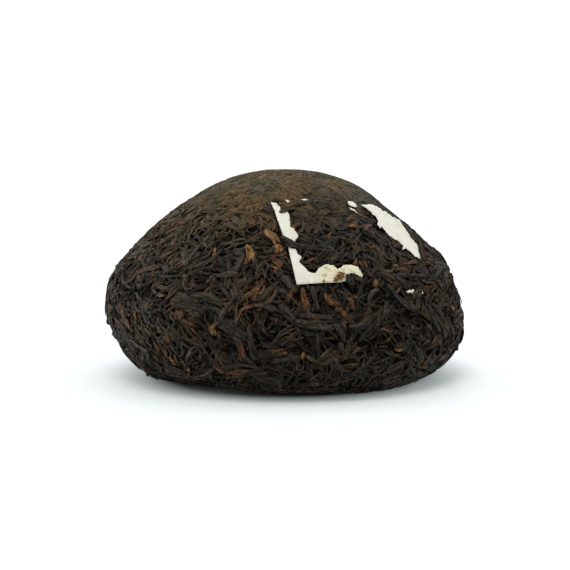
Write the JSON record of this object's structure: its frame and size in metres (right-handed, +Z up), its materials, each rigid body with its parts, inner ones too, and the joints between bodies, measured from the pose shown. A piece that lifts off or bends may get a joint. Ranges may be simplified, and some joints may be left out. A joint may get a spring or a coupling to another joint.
{
  "type": "pressed tea cake",
  "caption": "Ripe pu erh tea pressed into a domed bowl shape with a hollow underside, resting rim down, with torn paper ticket remains on its shoulder.",
  "frame": {"origin": "on the table, under the middle of the cake's box", "axes": "+Z up through the crown, -Y towards the front, where the ticket remains are, +X to the right"},
  "size_m": [0.1064, 0.1061, 0.0615],
  "materials": {
    "tea": "dry, tightly pressed strips of dark brown leaf, matte with a faint waxy sheen",
    "paper": "thin matte off-white paper, torn, stained and worn"
  },
  "bodies": {
    "root": {"tea_cake": "tea", "ticket_left": "paper", "ticket_right": "paper", "ticket_scrap_1": "paper", "ticket_scrap_2": "paper", "ticket_scrap_3": "paper", "ticket_scrap_4": "paper", "ticket_scrap_5": "paper", "ticket_scrap_6": "paper"}
  },
  "joints": []
}
